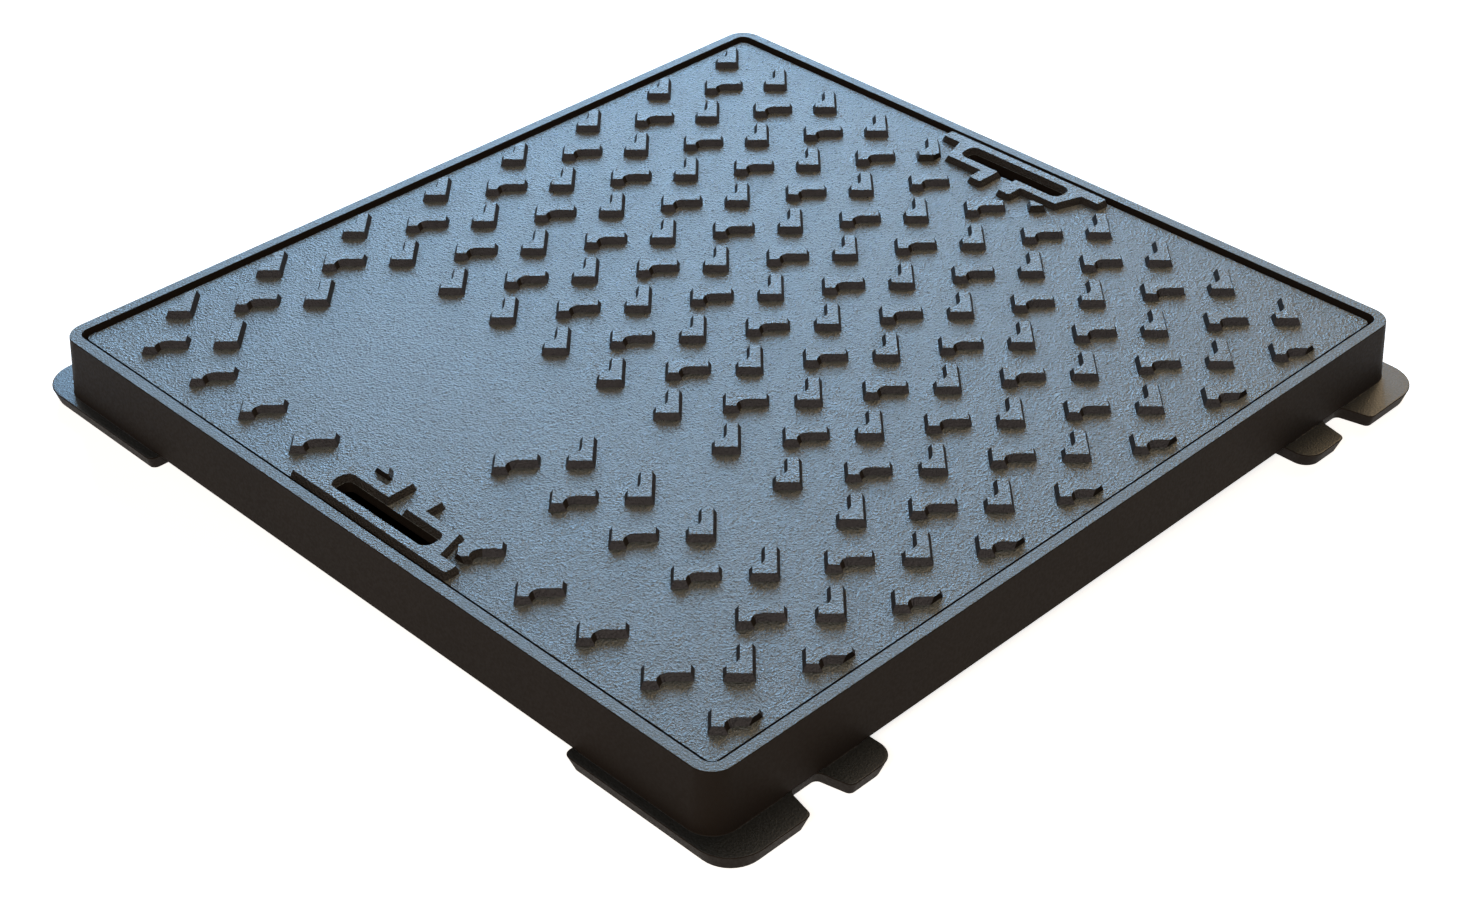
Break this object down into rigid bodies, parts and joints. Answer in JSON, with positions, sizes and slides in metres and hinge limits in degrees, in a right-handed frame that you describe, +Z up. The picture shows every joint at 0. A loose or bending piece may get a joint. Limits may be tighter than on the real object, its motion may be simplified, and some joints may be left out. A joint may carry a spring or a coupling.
{
  "type": "square inspection cover and frame",
  "caption": "Square cast-iron inspection cover with a raised hook-stud tread and lifting slots, resting in a shallow square frame with lugs.",
  "frame": {"origin": "middle of the base, on the ground", "axes": "+Z up, +Y from one lifting slot to the other, +X along the slots' length"},
  "size_m": [0.5, 0.5, 0.0428],
  "materials": {
    "frame_iron": "satin black paint",
    "cover_iron": "satin black paint"
  },
  "bodies": {
    "root": {"frame": "frame_iron", "cover": "cover_iron"}
  },
  "joints": []
}
